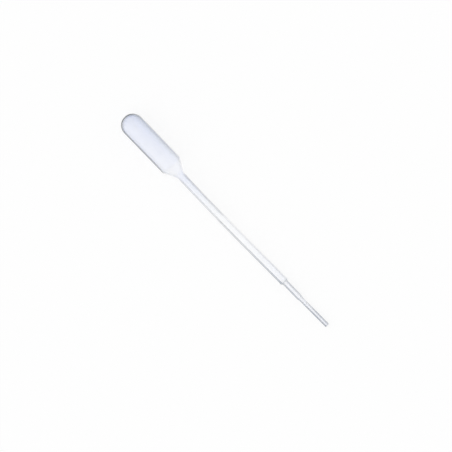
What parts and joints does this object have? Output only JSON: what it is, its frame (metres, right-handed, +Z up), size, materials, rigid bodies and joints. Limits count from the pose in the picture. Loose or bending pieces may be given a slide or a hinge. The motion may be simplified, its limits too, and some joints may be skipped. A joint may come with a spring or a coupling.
{
  "type": "dropper pipette",
  "caption": "One-piece soft plastic dropper pipette: round closed bulb, conical neck, long hollow stem that steps down to an outlet and a fine open tip.",
  "frame": {"origin": "centre of the footprint's box on the table, with the pipette lying as it comes to rest on the bulb's shoulder and the tip's rim", "axes": "+X along the length, from the bulb to the open tip; +Z up from the table; the pipette's own axis falls 2.4 degrees towards the tip"},
  "size_m": [0.15, 0.012, 0.0132],
  "materials": {
    "translucent_plastic": "natural low-density polyethylene, translucent, smooth with a soft sheen and a faint lavender cast"
  },
  "bodies": {
    "root": {"pipette": "translucent_plastic"}
  },
  "joints": []
}
